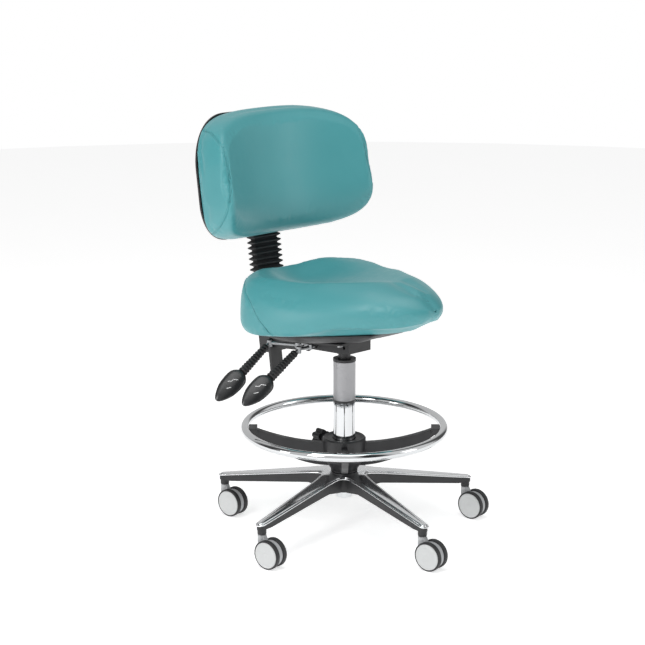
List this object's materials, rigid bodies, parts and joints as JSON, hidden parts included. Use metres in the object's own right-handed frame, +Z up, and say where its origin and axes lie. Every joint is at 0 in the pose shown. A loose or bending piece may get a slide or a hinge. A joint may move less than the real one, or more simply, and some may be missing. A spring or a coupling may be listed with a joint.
{
  "type": "dentist stool",
  "caption": "Dentist's stool with a hollowed saddle seat, curved backrest, two side levers, foot ring and a five-legged base on twin-wheel casters.",
  "frame": {"origin": "on the floor, on the column's axis", "axes": "+Z up along the column, -Y towards the front of the seat, +X to the sitter's left"},
  "size_m": [0.6015, 0.6638, 0.9436],
  "materials": {
    "polished_aluminium": "polished, bright raised panels",
    "black_plastic": "fine moulded grain",
    "satin_sleeve": "satin",
    "white_bush": "smooth",
    "zinc_steel": "zinc plated",
    "black_steel": "black powder coat",
    "shell_plastic": "black, fine grain",
    "teal_upholstery": "teal vinyl, soft sheen, fine grain",
    "lever_steel": "drawn bar",
    "black_rubber": "matt",
    "grip_plastic": "soft touch, dark grey",
    "bar_steel": "black enamel",
    "bright_chrome": "mirror bright",
    "caster_silver": "silver grey",
    "caster_wheel": "silver disc on a black tyre"
  },
  "bodies": {
    "base": {"star_base": "polished_aluminium", "leg_trims": "black_plastic", "hub_skirt": "black_plastic", "column_tube": "bright_chrome", "column_sleeve": "satin_sleeve", "column_rings": "black_plastic", "guide_bush": "white_bush", "thrust_bearing": "zinc_steel", "caster_stems": "zinc_steel"},
    "rod": {"piston_rod": "zinc_steel", "rod_clip": "zinc_steel"},
    "upper": {"gas_cylinder": "black_steel", "taper_socket": "black_steel", "mechanism_housing": "black_steel", "pivot_pins": "zinc_steel", "seat_plate": "black_steel", "seat_shell": "shell_plastic", "seat_cushion": "teal_upholstery", "seat_bolts": "zinc_steel"},
    "release": {"release_pin": "zinc_steel"},
    "height_lever": {"height_lever_rod": "lever_steel", "height_lever_cover": "black_rubber", "height_lever_grip": "grip_plastic"},
    "angle_lever": {"angle_lever_rod": "lever_steel", "angle_lever_cover": "black_rubber", "angle_lever_grip": "grip_plastic"},
    "back_support": {"back_arm": "black_steel", "back_arm_bolts": "zinc_steel", "bellows": "black_rubber"},
    "backrest": {"back_upright": "bar_steel", "back_carrier": "black_steel", "back_shell": "shell_plastic", "back_cushion": "teal_upholstery", "back_screws": "zinc_steel"},
    "ring_slider": {"ring_bush": "black_plastic"},
    "ring": {"foot_ring": "bright_chrome", "ring_hub": "black_plastic"},
    "knob": {"clamp_knob": "black_plastic"},
    "caster_1": {"caster_1_yoke": "caster_silver", "caster_1_axle": "zinc_steel"},
    "caster_1_left_wheel": {"caster_1_wheel_l": "caster_wheel"},
    "caster_1_right_wheel": {"caster_1_wheel_r": "caster_wheel"},
    "caster_2": {"caster_2_yoke": "caster_silver", "caster_2_axle": "zinc_steel"},
    "caster_2_left_wheel": {"caster_2_wheel_l": "caster_wheel"},
    "caster_2_right_wheel": {"caster_2_wheel_r": "caster_wheel"},
    "caster_3": {"caster_3_yoke": "caster_silver", "caster_3_axle": "zinc_steel"},
    "caster_3_left_wheel": {"caster_3_wheel_l": "caster_wheel"},
    "caster_3_right_wheel": {"caster_3_wheel_r": "caster_wheel"},
    "caster_4": {"caster_4_yoke": "caster_silver", "caster_4_axle": "zinc_steel"},
    "caster_4_left_wheel": {"caster_4_wheel_l": "caster_wheel"},
    "caster_4_right_wheel": {"caster_4_wheel_r": "caster_wheel"},
    "caster_5": {"caster_5_yoke": "caster_silver", "caster_5_axle": "zinc_steel"},
    "caster_5_left_wheel": {"caster_5_wheel_l": "caster_wheel"},
    "caster_5_right_wheel": {"caster_5_wheel_r": "caster_wheel"}
  },
  "joints": [
    {"name": "seat_swivel", "type": "hinge", "parent": "base", "child": "rod", "pos_m": [0, 0, 0.08], "axis": [0, 0, 1], "continuous": true},
    {"name": "gas_lift", "type": "slide", "parent": "rod", "child": "upper", "axis": [0, 0, 1], "range_m": [0, 0.2]},
    {"name": "pin_press", "type": "slide", "parent": "upper", "child": "release", "axis": [0, 0, -1], "range_m": [0, 0.004]},
    {"name": "height_lever_lift", "type": "hinge", "parent": "upper", "child": "height_lever", "pos_m": [-0.025, 0.06, 0.426], "axis": [0, 1, 0], "range_deg": [0, 7]},
    {"name": "angle_lever_lift", "type": "hinge", "parent": "upper", "child": "angle_lever", "pos_m": [-0.025, 0.103, 0.422], "axis": [0, 1, 0], "range_deg": [0, 7]},
    {"name": "back_tilt", "type": "hinge", "parent": "upper", "child": "back_support", "pos_m": [0, 0.088, 0.418], "axis": [-1, 0, 0], "range_deg": [-5, 10]},
    {"name": "back_height", "type": "slide", "parent": "back_support", "child": "backrest", "axis": [0, 0.1426, 0.9898], "range_m": [0, 0.06], "deforming": ["bellows"]},
    {"name": "ring_height", "type": "slide", "parent": "base", "child": "ring_slider", "axis": [0, 0, 1], "range_m": [0, 0.04]},
    {"name": "ring_turn", "type": "hinge", "parent": "ring_slider", "child": "ring", "pos_m": [0, 0, 0.242], "axis": [0, 0, 1], "continuous": true},
    {"name": "knob_turn", "type": "hinge", "parent": "ring", "child": "knob", "pos_m": [-0.00408, 0.07789, 0.2], "axis": [-0.0523, 0.9986, 0], "range_deg": [0, 270]},
    {"name": "caster_1_swivel", "type": "hinge", "parent": "base", "child": "caster_1", "pos_m": [0.20381, 0.21328, 0.06], "axis": [0, 0, 1], "continuous": true},
    {"name": "caster_1_left_roll", "type": "hinge", "parent": "caster_1", "child": "caster_1_left_wheel", "pos_m": [0.20798, 0.18964, 0.0325], "axis": [0.9848, 0.1736, 0], "continuous": true},
    {"name": "caster_1_right_roll", "type": "hinge", "parent": "caster_1", "child": "caster_1_right_wheel", "pos_m": [0.20798, 0.18964, 0.0325], "axis": [0.9848, 0.1736, 0], "continuous": true},
    {"name": "caster_2_swivel", "type": "hinge", "parent": "base", "child": "caster_2", "pos_m": [-0.13986, 0.25974, 0.06], "axis": [0, 0, 1], "continuous": true},
    {"name": "caster_2_left_roll", "type": "hinge", "parent": "caster_2", "child": "caster_2_left_wheel", "pos_m": [-0.13569, 0.23611, 0.0325], "axis": [0.9848, 0.1736, 0], "continuous": true},
    {"name": "caster_2_right_roll", "type": "hinge", "parent": "caster_2", "child": "caster_2_right_wheel", "pos_m": [-0.13569, 0.23611, 0.0325], "axis": [0.9848, 0.1736, 0], "continuous": true},
    {"name": "caster_3_swivel", "type": "hinge", "parent": "base", "child": "caster_3", "pos_m": [-0.29025, -0.05275, 0.06], "axis": [0, 0, 1], "continuous": true},
    {"name": "caster_3_left_roll", "type": "hinge", "parent": "caster_3", "child": "caster_3_left_wheel", "pos_m": [-0.28608, -0.07638, 0.0325], "axis": [0.9848, 0.1736, 0], "continuous": true},
    {"name": "caster_3_right_roll", "type": "hinge", "parent": "caster_3", "child": "caster_3_right_wheel", "pos_m": [-0.28608, -0.07638, 0.0325], "axis": [0.9848, 0.1736, 0], "continuous": true},
    {"name": "caster_4_swivel", "type": "hinge", "parent": "base", "child": "caster_4", "pos_m": [-0.03953, -0.29234, 0.06], "axis": [0, 0, 1], "continuous": true},
    {"name": "caster_4_left_roll", "type": "hinge", "parent": "caster_4", "child": "caster_4_left_wheel", "pos_m": [-0.03536, -0.31598, 0.0325], "axis": [0.9848, 0.1736, 0], "continuous": true},
    {"name": "caster_4_right_roll", "type": "hinge", "parent": "caster_4", "child": "caster_4_right_wheel", "pos_m": [-0.03536, -0.31598, 0.0325], "axis": [0.9848, 0.1736, 0], "continuous": true},
    {"name": "caster_5_swivel", "type": "hinge", "parent": "base", "child": "caster_5", "pos_m": [0.26582, -0.12793, 0.06], "axis": [0, 0, 1], "continuous": true},
    {"name": "caster_5_left_roll", "type": "hinge", "parent": "caster_5", "child": "caster_5_left_wheel", "pos_m": [0.26999, -0.15156, 0.0325], "axis": [0.9848, 0.1736, 0], "continuous": true},
    {"name": "caster_5_right_roll", "type": "hinge", "parent": "caster_5", "child": "caster_5_right_wheel", "pos_m": [0.26999, -0.15156, 0.0325], "axis": [0.9848, 0.1736, 0], "continuous": true}
  ],
  "couplings": [
    {"joint": "pin_press", "follows": "height_lever_lift", "m_per_rad": 0.025374}
  ]
}
